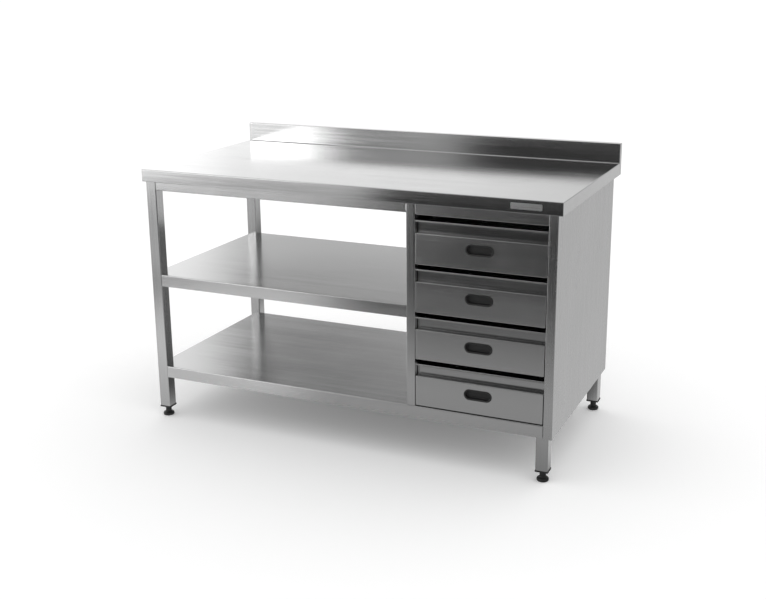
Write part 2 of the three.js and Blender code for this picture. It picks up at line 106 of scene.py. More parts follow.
class Graph:
    """A material's or the world's node tree, with short calls for the nodes used here."""

    def __init__(self, tree):
        self.tree = tree
        tree.nodes.clear()

    def node(self, kind, settings=None, **inputs):
        made = self.tree.nodes.new(kind)
        for key, value in (settings or {}).items():
            setattr(made, key, value)
        for key, value in inputs.items():
            self.put(made.inputs[key.replace("_", " ")], value)
        return made

    def put(self, socket, value):
        if isinstance(value, bpy.types.NodeSocket):
            self.tree.links.new(value, socket)
        else:
            socket.default_value = value

    def place(self):
        """Position in the model's frame, where every piece has its origin."""
        return self.node("ShaderNodeTexCoord").outputs["Object"]

    def scaled(self, vector, scale):
        made = self.node("ShaderNodeVectorMath", {"operation": "MULTIPLY"})
        self.put(made.inputs[0], vector)
        self.put(made.inputs[1], scale)
        return made.outputs[0]

    def noise(self, vector, scale=1.0, detail=2.0, roughness=0.5, distortion=0.0):
        made = self.node("ShaderNodeTexNoise", Vector=vector, Scale=scale, Detail=detail,
                         Roughness=roughness, Distortion=distortion)
        return made.outputs["Fac"]

    def spread(self, value, low, high, to_low, to_high, smooth=False):
        """Maps low..high of a value to to_low..to_high."""
        made = self.node("ShaderNodeMapRange", {"interpolation_type": "SMOOTHSTEP" if smooth else "LINEAR"})
        for socket, number in zip(made.inputs, (value, low, high, to_low, to_high)):
            self.put(socket, number)
        return made.outputs[0]

    def math(self, operation, a, b=0.0, c=0.0):
        made = self.node("ShaderNodeMath", {"operation": operation})
        for socket, number in zip(made.inputs, (a, b, c)):
            self.put(socket, number)
        return made.outputs[0]

    def blend(self, share, a, b):
        """A colour between a and b."""
        made = self.node("ShaderNodeMix", {"data_type": "RGBA"})
        self.put(made.inputs["Factor"], share)
        self.put(made.inputs[6], a)
        self.put(made.inputs[7], b)
        return made.outputs[2]

    def ramp(self, value, stops, label=""):
        """A value that runs straight from stop to stop: (position, number) pairs, in units of RAMP_TOP."""
        made = self.node("ShaderNodeValToRGB", {"label": label})
        self.put(made.inputs[0], value)
        elements = made.color_ramp.elements
        for position, _ in stops[2:]:
            elements.new(position)
        for element, (position, number) in zip(elements, stops):
            element.position = position
            element.color = grey(number / RAMP_TOP)
        return made.outputs[0]

    def bump(self, height, distance, strength=1.0, normal=None):
        made = self.node("ShaderNodeBump", Height=height, Distance=distance, Strength=strength)
        if normal is not None:
            self.put(made.inputs["Normal"], normal)
        return made.outputs["Normal"]

    def parts(self, vector):
        return self.node("ShaderNodeSeparateXYZ", Vector=vector).outputs


def new_material(name):
    material = bpy.data.materials.new(name)
    material.use_nodes = True
    return material, Graph(material.node_tree)


def grey(value, warmth=0.0):
    return (value * (1 + warmth), value, value * (1 - warmth), 1.0)


# ---- steel ----------------------------------------------------------------------------------

ACROSS = {"x": (0, 1, 1), "y": (1, 0, 1), "z": (1, 1, 0)}  # the directions across each grain
# How often a brushed mark repeats in a metre, across the grain and along it.
FINE_MARKS = (1800, 9)
STREAKS = (260, 2.2)
BANDS = (22, 0.6)
MARK_DEPTH = 0.00001


def brushed_steel(name, grain, tone, roughness, anisotropy=0.6, wave=0.0002, grime=0.02, streaks=0.045,
                  bands=0.06):
    """Brushed stainless sheet. The grain runs along one axis of the frame."""
    material, g = new_material(name)
    across = ACROSS[grain]
    place = g.place()
    fine_place, streak_place, band_place = [g.scaled(place, [often if a else seldom for a in across])
                                            for often, seldom in (FINE_MARKS, STREAKS, BANDS)]
    fine = g.noise(fine_place, detail=3, roughness=0.6)
    streak = g.noise(streak_place, detail=4, roughness=0.65)
    band = g.noise(band_place, detail=2)
    cloud = g.noise(place, scale=3.2, detail=3, roughness=0.55)
    smear = g.noise(place, scale=11, detail=5, roughness=0.6, distortion=0.8)

    marks = g.math("ADD", g.spread(fine, 0.3, 0.7, -0.5, 0.5), g.spread(streak, 0.3, 0.7, -0.7, 0.7))
    soft = g.math("ADD", g.spread(band, 0.3, 0.7, -0.5, 0.5), g.spread(cloud, 0.3, 0.7, -0.5, 0.5))
    dirty = g.spread(smear, 0.56, 0.78, 0.0, grime, smooth=True)

    shade = g.math("ADD", g.math("MULTIPLY_ADD", marks, streaks * 2, 0.5), g.math("MULTIPLY", soft, bands))
    colour = g.blend(shade, grey(tone * 0.75, 0.004), grey(min(tone * 1.25, 1.0), -0.004))
    rough = g.math("MULTIPLY_ADD", marks, 0.035, roughness)
    rough = g.math("ADD", rough, g.math("MULTIPLY_ADD", soft, 0.03, dirty))
    height = g.math("ADD", g.math("MULTIPLY", fine, 0.35), g.math("MULTIPLY", streak, 0.65))
    waviness = g.noise(place, scale=2.6, detail=1, roughness=0.4)
    normal = g.bump(waviness, wave * 4)
    normal = g.bump(height, MARK_DEPTH, normal=normal)

    tangent = g.node("ShaderNodeCombineXYZ", X=across[0], Y=across[1], Z=across[2]).outputs[0]
    shader = g.node("ShaderNodeBsdfPrincipled", Base_Color=colour, Metallic=1.0, Roughness=rough,
                    Anisotropic=anisotropy, Tangent=tangent, Normal=normal)
    g.node("ShaderNodeOutputMaterial", Surface=shader.outputs[0])
    return material


def matte_black(name, tone, roughness, grain_scale):
    """Moulded black plastic with the fine grain of its mould, dusty in places."""
    material, g = new_material(name)
    place = g.place()
    pebble = g.noise(place, scale=grain_scale, detail=2, roughness=0.6)
    dust = g.noise(place, scale=60, detail=4, roughness=0.65)
    colour = g.blend(g.spread(dust, 0.45, 0.75, 0.0, 0.35, smooth=True), grey(tone), grey(tone * 2.6, 0.02))
    rough = g.math("ADD", g.spread(pebble, 0.3, 0.7, roughness - 0.06, roughness + 0.06),
                   g.spread(dust, 0.45, 0.75, 0.0, 0.12))
    shader = g.node("ShaderNodeBsdfPrincipled", Base_Color=colour, Roughness=rough,
                    Normal=g.bump(pebble, 0.00006))
    g.node("ShaderNodeOutputMaterial", Surface=shader.outputs[0])
    return material


def laminated_board(name):
    """Pale laminate with a fine print, over the chips of the board."""
    material, g = new_material(name)
    place = g.place()
    chips = g.node("ShaderNodeTexVoronoi", Vector=g.scaled(place, (260, 260, 520)), Scale=1.0)
    tone = g.spread(chips.outputs["Distance"], 0.0, 0.9, 0.0, 1.0)
    colour = g.blend(tone, (0.46, 0.45, 0.43, 1), (0.54, 0.53, 0.51, 1))
    shader = g.node("ShaderNodeBsdfPrincipled", Base_Color=colour, Roughness=g.spread(tone, 0, 1, 0.5, 0.6),
                    Normal=g.bump(tone, 0.00005))
    g.node("ShaderNodeOutputMaterial", Surface=shader.outputs[0])
    return material


def make_materials():
    return {
        "top": brushed_steel("worktop_steel", "x", 0.62, 0.125, wave=0.00010, streaks=0.15),
        "shelf": brushed_steel("shelf_steel", "x", 0.62, 0.19, streaks=0.06),
        "upright": brushed_steel("upright_steel", "z", 0.60, 0.20, streaks=0.06),
        "panel": brushed_steel("panel_steel", "z", 0.60, 0.27, grime=0.06, streaks=0.012, bands=0.16),
        "front": brushed_steel("front_steel", "x", 0.56, 0.20, grime=0.05, streaks=0.03),
        # Painted shade: the grip channel wears the front steel at a darker tone, standing in for the shade
        # inside the recess.
        "channel": brushed_steel("channel_steel_painted_shade", "x", 0.48, 0.17, anisotropy=0.3, streaks=0.03),
        "hidden": brushed_steel("mill_steel", "x", 0.55, 0.38, anisotropy=0.3),
        "side_rail": brushed_steel("side_rail_steel", "y", 0.60, 0.22),
        "zinc": brushed_steel("zinc", "y", 0.60, 0.36, anisotropy=0.2, grime=0.05),
        "plate": brushed_steel("plate_aluminium", "x", 0.80, 0.30, anisotropy=0.4),
        "plastic": matte_black("black_plastic", 0.012, 0.48, 2600),
        "board": laminated_board("core_board"),
    }


def finish_of(node):
    """The key of the material that a CAD node wears."""
    if node == "worktop":
        return "top"
    if node == "core_board":
        return "board"
    if node == "name_plate":
        return "plate"
    if node.startswith(("foot_", "end_cap_")) or node.endswith("_pull"):
        return "plastic"
    if node.startswith(("leg_", "partition")):
        return "upright"
    if node in ("side_panel", "back_panel"):
        return "panel"
    if node.startswith("runner_upright"):
        return "hidden"
    if "runner" in node:
        return "zinc"
    if node == "left_rail":
        return "side_rail"
    if "stiffener" in node or node.endswith("_box"):
        return "hidden"
    if node.endswith("_shelf"):
        return "shelf"
    return "front"


# ---- CAD nodes: cut edges rounded and bends shaded smooth -----------------------------------

SAME_PLACE = 0.00001  # corners closer than this are one corner
EDGE_TURN = math.radians(50)  # faces that turn by more than this meet in an edge
FLAT_TURN = math.radians(0.5)  # and by less than this are one flat face
CUT_EDGE = 0.25 * MM  # how far a cut edge is rounded


def smooth_bends_group():
    """A modifier that joins the faces of a mesh and shades it smooth where it turns by less than an edge."""
    group = bpy.data.node_groups.new("smooth_bends", "GeometryNodeTree")
    group.interface.new_socket("Geometry", in_out="INPUT", socket_type="NodeSocketGeometry")
    group.interface.new_socket("Geometry", in_out="OUTPUT", socket_type="NodeSocketGeometry")
    new, link = group.nodes.new, group.links.new
    source, result = new("NodeGroupInput"), new("NodeGroupOutput")
    merge = new("GeometryNodeMergeByDistance")
    merge.inputs["Distance"].default_value = SAME_PLACE
    faces, edges = new("GeometryNodeSetShadeSmooth"), new("GeometryNodeSetShadeSmooth")
    edges.domain = "EDGE"
    edges.inputs["Shade Smooth"].default_value = False
    angle = new("GeometryNodeInputMeshEdgeAngle")
    sharp = new("ShaderNodeMath")
    sharp.operation = "GREATER_THAN"
    sharp.inputs[1].default_value = EDGE_TURN
    link(source.outputs[0], merge.inputs["Geometry"])
    link(merge.outputs[0], faces.inputs["Geometry"])
    link(faces.outputs[0], edges.inputs["Geometry"])
    link(angle.outputs[0], sharp.inputs[0])
    link(sharp.outputs[0], edges.inputs["Selection"])
    link(edges.outputs[0], result.inputs[0])
    return group


def finish_cad_nodes(materials):
    group = smooth_bends_group()
    for name, obj in nodes.items():
        obj.data.materials[0] = materials[finish_of(name)]
        join = obj.modifiers.new("join", "NODES")
        join.node_group = group
        planar = obj.modifiers.new("planar", "DECIMATE")
        planar.decimate_type = "DISSOLVE"
        planar.angle_limit = FLAT_TURN
        edge = obj.modifiers.new("edge", "BEVEL")
        edge.width = CUT_EDGE
        edge.segments = 2
        edge.limit_method = "ANGLE"
        edge.angle_limit = EDGE_TURN
        normals = obj.modifiers.new("normals", "WEIGHTED_NORMAL")
        normals.keep_sharp = True


# ---- shapes ---------------------------------------------------------------------------------

ARC_STEPS = 8  # straight steps in a quarter turn


def arc(centre, radius, start, end, steps):
    """Points on part of a circle, from one angle in degrees to the other."""
    angles = [math.radians(start + (end - start) * i / steps) for i in range(steps + 1)]
    return [(centre[0] + radius * math.cos(a), centre[1] + radius * math.sin(a)) for a in angles]


def rounded_rectangle(x0, z0, x1, z1, radius):
    loop = []
    corners = [(x1, z0, -90), (x1, z1, 0), (x0, z1, 90), (x0, z0, 180)]
    for x, z, start in corners:
        centre = (x - radius if x == x1 else x + radius, z - radius if z == z1 else z + radius)
        loop += arc(centre, radius, start, start + 90, ARC_STEPS)
    return loop


def obround(x, z, length, width):
    radius = width / 2
    reach = length / 2 - radius
    right = arc((x + reach, z), radius, -90, 90, 3 * ARC_STEPS)
    left = arc((x - reach, z), radius, 90, 270, 3 * ARC_STEPS)
    return right + left


def add_loop(bm, points):
    return [bm.verts.new(point) for point in points]


def join_loops(bm, first, second):
    """A band of faces between two closed loops of equally many points."""
    count = len(first)
    for i in range(count):
        j = (i + 1) % count
        bm.faces.new((first[i], first[j], second[j], second[i]))


def loop_edges(bm, loop):
    return [bm.edges.get((loop[i - 1], loop[i])) for i in range(len(loop))]


def rounded_path(points, radii):
    """An open path with its corners rounded."""
    path = []
    for i, (point, radius) in enumerate(zip(points, radii)):
        corner = Vector(point)
        if i in (0, len(points) - 1) or radius == 0:
            path.append(corner)
            continue
        back = (Vector(points[i - 1]) - corner).normalized()
        ahead = (Vector(points[i + 1]) - corner).normalized()
        half = back.angle(ahead) / 2
        centre = corner + (back + ahead).normalized() * (radius / math.sin(half))
        start = corner + back * (radius / math.tan(half))
        turn = math.pi - 2 * half
        if back.cross(ahead) > 0:
            turn = -turn
        for step in range(ARC_STEPS + 1):
            arm = (start - centre)
            arm.rotate(Matrix.Rotation(turn * step / ARC_STEPS, 2))
            path.append(centre + arm)
    return path


def bent_section(points, bends, thickness):
    """Outline of a bent sheet. The points lie on one face, with the metal on the right of their direction."""
    face = [Vector(point) for point in points]
    along = [(face[i + 1] - face[i]).normalized() for i in range(len(face) - 1)]
    right = [Vector((d.y, -d.x)) for d in along]
    other = []
    face_radii = []
    other_radii = []
    for i, point in enumerate(face):
        before = right[max(i - 1, 0)]
        after = right[min(i, len(right) - 1)]
        other.append(point + (before + after) * (thickness / (1 + before.dot(after))))
        left_turn = 0 < i < len(along) and along[i - 1].cross(along[i]) > 0
        face_radii.append(bends[i] + (0 if left_turn else thickness))
        other_radii.append(bends[i] + (thickness if left_turn else 0))
    return rounded_path(face, face_radii) + rounded_path(other, other_radii)[::-1]


def extrude_along_x(bm, section, left, right):
    """Solid whose section is drawn in y, z."""
    first = add_loop(bm, [(left, y, z) for y, z in section])
    second = add_loop(bm, [(right, y, z) for y, z in section])
    join_loops(bm, first, second)
    bm.faces.new(first[::-1])
    bm.faces.new(second)


def make_piece(name, bm, material, body, replaces=None):
    """Turns a mesh into a piece that rides on a body."""
    bmesh.ops.recalc_face_normals(bm, faces=bm.faces)
    mesh = bpy.data.meshes.new(name)
    bm.to_mesh(mesh)
    bm.free()
    piece = bpy.data.objects.new(name, mesh)
    bpy.context.scene.collection.objects.link(piece)
    mesh.materials.append(material)
    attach(piece, body)
    if replaces:
        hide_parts(replaces)
    return piece


def shade_bends(piece):
    smooth = piece.modifiers.new("smooth", "NODES")
    smooth.node_group = bpy.data.node_groups["smooth_bends"]
    normals = piece.modifiers.new("normals", "WEIGHTED_NORMAL")
    normals.keep_sharp = True


def thicken(piece, thickness):
    """Gives a skin the thickness of its sheet, inwards."""
    solid = piece.modifiers.new("thickness", "SOLIDIFY")
    solid.thickness = thickness
    solid.offset = -1
    solid.use_even_offset = False


# ---- folded sheet pieces --------------------------------------------------------------------


def folded_pan(bm, low, high, front, depth, fold, corner, hole=None):
    """Skin of a shallow pan, open at the back, seen from the front. Its edges are folded with a radius."""
    x0, z0 = low
    x1, z1 = high
    loops = [add_loop(bm, [(x, front + depth, z) for x, z in rounded_rectangle(x0, z0, x1, z1, corner)])]
    for step in range(ARC_STEPS + 1):
        angle = math.radians(90 * step / ARC_STEPS)
        inset = fold * (1 - math.cos(angle))
        y = front + fold * (1 - math.sin(angle))
        outline = rounded_rectangle(x0 + inset, z0 + inset, x1 - inset, z1 - inset, corner - inset)
        loops.append(add_loop(bm, [(x, y, z) for x, z in outline]))
    for first, second in zip(loops, loops[1:]):
        join_loops(bm, first, second)
    if hole is None:
        bm.faces.new(loops[-1])
        return
    rim = add_loop(bm, [(x, front, z) for x, z in hole])
    for i in range(len(rim)):
        bm.edges.new((rim[i - 1], rim[i]))
    edges = loop_edges(bm, loops[-1]) + loop_edges(bm, rim)
    bmesh.ops.triangle_fill(bm, edges=edges, use_beauty=True, normal=(0, -1, 0))


GAP = 0.3 * MM  # between pieces that touch
SHEET = 1.2 * MM  # of the worktop, the frame and the runners
FRONT_SHEET = 1.0 * MM
FACE_HEIGHT = 95 * MM  # of the flat face of a drawer front
FACE_FOLD = 2.2 * MM  # outer radius of its folded edges
FACE_CORNER = 2.4 * MM
FOLD_DEPTH = 19.5 * MM
LEDGE_START = 10 * MM  # from the face to the start of the channel's ledge
LEDGE_RISE = 0.05 * MM  # the ledge stands this much above the face's top fold
LEDGE_BEND = 1.2 * MM
CHANNEL_BEND = 1.5 * MM
CHANNEL_MARGIN = 0.1 * MM  # from a channel's end to the end of the face
LIP_BEND = 2.0 * MM
PULL_RIM = 3.5 * MM
PULL_WALL = 1.8 * MM


def pull_outline(drawer, inset):
    low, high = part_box(f"drawer_{drawer}_pull")
    middle = (low + high) / 2
    return obround(middle.x, middle.z, high.x - low.x - 2 * inset, high.z - low.z - 2 * inset)


def add_drawer_front(drawer, material, painted_shade_channel_material):
    node = f"drawer_{drawer}_front"
    low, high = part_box(node)
    front = low.y
    riser = high.y - FRONT_SHEET
    ledge = low.z + FACE_HEIGHT
    under = high.z - FRONT_SHEET
    bm = bmesh.new()
    hole = pull_outline(drawer, PULL_RIM - GAP)
    folded_pan(bm, (low.x, low.z), (high.x, ledge), front, FOLD_DEPTH, FACE_FOLD, FACE_CORNER, hole)
    face = make_piece(f"{node}_face", bm, material, f"drawer_{drawer}", node)
    thicken(face, FRONT_SHEET)
    shade_bends(face)

    roll = front + FRONT_SHEET
    floor = ledge + LEDGE_RISE
    hem = 2 * LIP_BEND
    path = [(front + LEDGE_START, floor), (riser, floor), (riser, under), (roll, under),
            (roll, under - hem), (roll + hem, under - hem)]
    bends = [0, LEDGE_BEND, CHANNEL_BEND, LIP_BEND, LIP_BEND, 0]
    bm = bmesh.new()
    section = bent_section(path, bends, FRONT_SHEET)
    extrude_along_x(bm, section, low.x + CHANNEL_MARGIN, high.x - CHANNEL_MARGIN)
    channel = make_piece(f"{node}_channel", bm, painted_shade_channel_material, f"drawer_{drawer}")
    shade_bends(channel)


APRON_FOLD = 2.4 * MM
APRON_CORNER = 6 * MM


def add_apron(material):
    low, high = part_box("apron")
    bm = bmesh.new()
    folded_pan(bm, (low.x, low.z), (high.x, high.z), low.y, high.y - low.y, APRON_FOLD, APRON_CORNER)
    apron = make_piece("apron_pan", bm, material, "frame", "apron")
    thicken(apron, SHEET)
    shade_bends(apron)


UPSTAND_DEPTH = 25 * MM
TOP_BEND = 2.6 * MM  # outer radius of the worktop's bends
TOP_BEND_STEPS = 6
TOP_SKIN = 1.1 * MM
TOP_ROLL = 2.0 * MM  # radius of its rolled lower edge
TOP_ROLL_STEPS = 8
TOP_RETURN = 8 * MM  # how far the rolled edge goes back up
SHARP_TURN = 0.6  # radians; a bend already rounded turns by less from face to face


def add_worktop(material):
    """Top with its upstand and drop edges. The lower edge is rolled inwards."""
    low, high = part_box("worktop")
    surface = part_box("core_board")[1].z + GAP + SHEET
    crest = high.y - UPSTAND_DEPTH
    bottom = low.z + TOP_ROLL
    profile = [(low.y, bottom), (high.y, bottom), (high.y, high.z), (crest, high.z), (crest, surface),
               (low.y, surface)]
    bm = bmesh.new()
    left = add_loop(bm, [(low.x, y, z) for y, z in profile])
    right = add_loop(bm, [(high.x, y, z) for y, z in profile])
    for i in range(1, len(profile)):
        j = (i + 1) % len(profile)
        bm.faces.new((left[i], left[j], right[j], right[i]))
    bm.faces.new(left[::-1])
    bm.faces.new(right)
    foot_of_upstand = profile.index((crest, surface))
    round_edges(bm, [bm.edges.get((left[foot_of_upstand], right[foot_of_upstand]))])
    folded = [edge for edge in bm.edges if len(edge.link_faces) == 2]
    round_edges(bm, [edge for edge in folded if edge.calc_face_angle() > SHARP_TURN])
    roll_rim(bm, low, high)
    top = make_piece("worktop_sheet", bm, material, "frame", "worktop")
    thicken(top, TOP_SKIN)
    shade_bends(top)


def round_edges(bm, edges):
    bmesh.ops.bevel(bm, geom=edges, offset=TOP_BEND, segments=TOP_BEND_STEPS, profile=0.5, affect="EDGES",
                    clamp_overlap=True)


def roll_rim(bm, low, high):
    """Carries the open lower rim of the worktop round a half turn, inwards and back up."""
    rim = [edge for edge in bm.edges if len(edge.link_faces) == 1]
    inner_low = Vector((low.x + TOP_BEND, low.y + TOP_BEND))
    inner_high = Vector((high.x - TOP_BEND, high.y - TOP_BEND))
    places = {}
    for edge in rim:
        for vert in edge.verts:
            inner = Vector((min(max(vert.co.x, inner_low.x), inner_high.x),
                            min(max(vert.co.y, inner_low.y), inner_high.y)))
            places[vert] = (vert.co.copy(), (vert.co.xy - inner).normalized())
    turns = [math.radians(180 / TOP_ROLL_STEPS * i) for i in range(1, TOP_ROLL_STEPS + 1)]
    steps = [(TOP_ROLL * (1 - math.cos(turn)), TOP_ROLL * math.sin(turn)) for turn in turns]
    steps.append((2 * TOP_ROLL, -TOP_RETURN))
    previous = {vert: vert for vert in places}
    for inward, down in steps:
        current = {}
        for vert, (place, outward) in places.items():
            shift = outward * inward
            current[vert] = bm.verts.new((place.x - shift.x, place.y - shift.y, place.z - down))
        for edge in rim:
            a, b = edge.verts
            bm.faces.new((previous[a], previous[b], current[b], current[a]))
        previous = current


# ---- moulded pieces -------------------------------------------------------------------------


def stack_loops(bm, loops):
    """Closed solid through a stack of loops, with a flat face at each end."""
    rings = [add_loop(bm, loop) for loop in loops]
    for first, second in zip(rings, rings[1:]):
        join_loops(bm, first, second)
    bm.faces.new(rings[0][::-1])
    bm.faces.new(rings[-1])


CUP_MOUTH = 2.2 * MM  # radius of the rounded rim on the cup's inside
CUP_FLOOR = 3 * MM  # radius round the cup's floor


def quarter_turn(steps):
    """Sine and cosine at even steps of a quarter turn."""
    angles = [math.pi / 2 * i / steps for i in range(steps + 1)]
    return [(math.sin(angle), math.cos(angle)) for angle in angles]


def add_pull(drawer, material):
    """Cup with a rounded rim, pushed into the front from outside."""
    node = f"drawer_{drawer}_pull"
    low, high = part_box(node)
    front, back = low.y, high.y
    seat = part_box(f"drawer_{drawer}_front")[0].y - GAP - front
    depth = back - front
    edge = PULL_RIM - 0.4 * MM
    wall = edge + CUP_MOUTH
    floor = depth - PULL_WALL
    # Inset of each outline and its distance behind the rim: up the outside, over the rim and down the inside.
    profile = [(PULL_RIM + 2.5 * MM, depth), (PULL_RIM + 0.8 * MM, depth - 0.7 * MM),
               (PULL_RIM, depth - 2.5 * MM), (PULL_RIM, seat), (0.0, seat)]
    profile += [(seat * (1 - c), seat * (1 - s)) for s, c in quarter_turn(6)]
    profile += [(edge + CUP_MOUTH * s, CUP_MOUTH * (1 - c)) for s, c in quarter_turn(8)]
    profile += [(wall + CUP_FLOOR * (1 - c), floor - CUP_FLOOR * (1 - s)) for s, c in quarter_turn(8)]
    loops = [[(x, front + y, z) for x, z in pull_outline(drawer, inset)] for inset, y in profile]
    bm = bmesh.new()
    stack_loops(bm, loops)
    pull = make_piece(f"{node}_cup", bm, material, f"drawer_{drawer}", node)
    shade_bends(pull)


FOOT_STEPS = 48  # straight steps round a foot
PAD_EDGE = 3.2 * MM  # radius of the pad's lower edge
PAD_SHOULDER = 4.2 * MM
SHOULDER_HEIGHT = 6.6 * MM
WAIST = 9.6 * MM
WAIST_FLARE = 4.5 * MM
FLARE_HEIGHT = 15.2 * MM
STUD = 4.9 * MM
THREAD_PITCH = 1.5 * MM
THREAD_DEPTH = 0.9 * MM


def ring(x, y, radius, steps):
    return arc((x, y), radius, 0, 360, steps)[:-1]


def foot_profile(pad, neck, top):
    """Radius and height from the middle of the pad to the end of the stud."""
    profile = [(pad - 6 * MM, 0), (pad - PAD_EDGE, 0)]
    profile += [(pad - PAD_EDGE + r, z) for r, z in arc((0, PAD_EDGE), PAD_EDGE, -75, 0, 6)]
    profile += [(pad - PAD_SHOULDER + r, z) for r, z in arc((0, SHOULDER_HEIGHT), PAD_SHOULDER, 0, 65, 8)]
    profile += [(WAIST + WAIST_FLARE - r, z) for r, z in arc((0, FLARE_HEIGHT), WAIST_FLARE, -62, 0, 6)]
    profile += [(WAIST, neck - 0.6 * MM), (WAIST - 0.6 * MM, neck), (STUD, neck)]
    root = STUD - THREAD_DEPTH
    for turn in range(int((top - 2 * MM - neck) / THREAD_PITCH)):
        z = neck + 1 * MM + turn * THREAD_PITCH
        profile += [(root, z), (STUD, z + 0.45 * THREAD_PITCH), (STUD, z + 0.6 * THREAD_PITCH)]
    return profile + [(root, top - 0.8 * MM), (root - 0.8 * MM, top)]


def add_foot(corner, material):
    """Pad, waist and a stud ringed like a thread."""
    node = f"foot_{corner}"
    low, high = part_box(node)
    centre = (low + high) / 2
    pad = (high.x - low.x) / 2
    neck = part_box(f"end_cap_{corner}")[0].z - GAP
    loops = []
    for radius, z in foot_profile(pad, neck, high.z):
        height = low.z + z if z < neck else z
        loops.append([(x, y, height) for x, y in ring(centre.x, centre.y, radius, FOOT_STEPS)])
    bm = bmesh.new()
    stack_loops(bm, loops)
    foot = make_piece(f"{node}_moulding", bm, material, body_of_node[node], node)
    shade_bends(foot)


SCREW_PLACES = (0.08, 0.5, 0.92)  # along a runner member, as shares of its length
# Height over the web and radius of a screw's head, from its rim to its recess, in millimetres.
SCREW_HEAD = [(0.0, 3.6), (0.5, 3.6), (1.1, 3.1), (1.5, 2.2), (1.7, 1.5), (0.9, 1.1), (0.9, 0.4)]
SCREW_STEPS = 24


def add_screws(runner, inward, material):
    """Domed screws on the web of a runner member. Inward is 1 or -1, for heads along or against X."""
    low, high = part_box(runner)
    web = low.x if inward > 0 else high.x
    middle = (low.z + high.z) / 2
    bm = bmesh.new()
    for share in SCREW_PLACES:
        y = low.y + share * (high.y - low.y)
        loops = []
        for height, radius in SCREW_HEAD:
            x = web + inward * (SHEET + height * MM)
            loops.append([(x, a, b) for a, b in ring(y, middle, radius * MM, SCREW_STEPS)])
        stack_loops(bm, loops)
    screws = make_piece(f"{runner}_screws", bm, material, body_of_node[runner])
    shade_bends(screws)


def add_pieces(materials):
    add_worktop(materials["top"])
    add_apron(materials["front"])
    for drawer in range(1, 5):
        add_drawer_front(drawer, materials["front"], materials["channel"])
        add_pull(drawer, materials["plastic"])
        for side, hand in (("left", -1), ("right", 1)):
            add_screws(f"drawer_{drawer}_runner_{side}", hand, materials["zinc"])
            add_screws(f"cabinet_{drawer}_runner_{side}", -hand, materials["zinc"])
    for corner in ("front_left", "front_right", "rear_left", "rear_right"):
        add_foot(corner, materials["plastic"])


# ---- studio ---------------------------------------------------------------------------------

# What the steel mirrors of the studio's walls. Each row is a bearing in degrees round the table (0 behind it,
# 90 on its left, 180 in front of it, 270 on its right) and the radiance there, low down and higher up.
WALLS = [
    (0, 0.74, 0.85),
    (14, 0.84, 0.76),
    (22, 1.2, 0.31),
    (29, 1.2, 0.21),
    (32.4, 1.24, 0.22),
    (34.6, 1.42, 1.08),
    (60, 1.57, 1.02),
    (100, 1.79, 0.78),
    (130, 2.14, 0.68),
    (151.3, 4.4, 0.72),
    (152.3, 0.48, 0.2),
    (155, 0.4, 0.16),
    (158.7, 0.8, 0.08),
    (159.5, 0.04, 0.04),
    (165, 0.05, 0.08),
    (174, 0.07, 0.08),
    (185, 0.22, 0.2),
    (200, 0.4, 0.35),
    (230, 0.48, 0.4),
    (270, 0.56, 0.48),
    (300, 0.16, 0.16),
    (338, 0.12, 0.3),
    (348, 0.64, 0.64),
    (360, 0.74, 0.85),
]
WALL_RISE = (0.15, 0.31)  # the sine of the elevation where low turns into high

# The same for the floor ahead of the table. Each row is a distance in metres from its front, and the radiance
# straight ahead and to the left of it.
FLOOR_AHEAD = [
    (0.0, 0.27, 0.55),
    (0.3, 0.37, 0.68),
    (0.6, 0.45, 0.82),
    (1.1, 0.27, 0.77),
    (1.75, 0.08, 0.62),
    (2.6, 0.03, 0.47),
    (3.3, 0.01, 0.45),
    (3.8, 0.06, 0.62),
    (4.4, 0.06, 0.66),
    (6.5, 0.06, 0.55),
    (8.5, 0.45, 0.5),
]
# Where "straight ahead" starts to turn into "left", and where it has: X at the table's front.
LEFT_LIGHT = (-0.04, -0.42)
LEFT_SLANT = 0.38  # how far that moves to the left for each metre ahead
FAR_LEFT = (-3.1, -3.45, 1.3)  # where the bright strip on the far left starts and is full, and its radiance
CARD_MIDDLE = (-1.76, 1.06)  # dark card on the floor: X, and distance ahead
CARD_HALF = (0.22, 0.52)  # half its width and half its length
CARD_BLUR = 0.1
CARD_SHADE = 0.5
REAR_START = (-0.34, -0.1)  # where the floor ahead turns into the floor behind, on Y
REAR_LIGHT = 0.65
REAR_DARK = 0.12  # behind the open bay
BAY_MIDDLE = 0.2
BAY_REACH = (0.35, 0.5)
SHADOW_REACH = (-0.25, 0.05)  # from inside to outside the table's edges
SHADOW_DEPTH = 0.12
FLOOR_GLOW = 0.10
OVERHEAD_LIGHT = 0.10
OVERHEAD_SIZE = (3.2, 2.4)
OVERHEAD_PLACE = (-0.2, -0.1, 3.4)
OVERHEAD_TARGET = (0, 0, 0.4)


def flat_sheet(name, size, height):
    mesh = bpy.data.meshes.new(name)
    corners = [(-size, -size, 0), (size, -size, 0), (size, size, 0), (-size, size, 0)]
    mesh.from_pydata(corners, [], [(0, 1, 2, 3)])
    sheet = bpy.data.objects.new(name, mesh)
    sheet.location.z = height
    bpy.context.scene.collection.objects.link(sheet)
    return sheet


def add_floor():
    """Pale floor. Steel mirrors the darker studio floor below instead."""
    floor = flat_sheet("floor", 60, cad_low.z - 0.0005)
    material, g = new_material("floor")
    speckle = g.noise(g.place(), scale=40, detail=3)
    colour = g.blend(speckle, grey(0.96), grey(0.98))
    shader = g.node("ShaderNodeBsdfPrincipled", Base_Color=colour, Roughness=1.0, Specular_IOR_Level=0.0,
                    Emission_Color=grey(1.0), Emission_Strength=FLOOR_GLOW)
    g.node("ShaderNodeOutputMaterial", Surface=shader.outputs[0])
    floor.data.materials.append(material)
    floor.visible_glossy = False


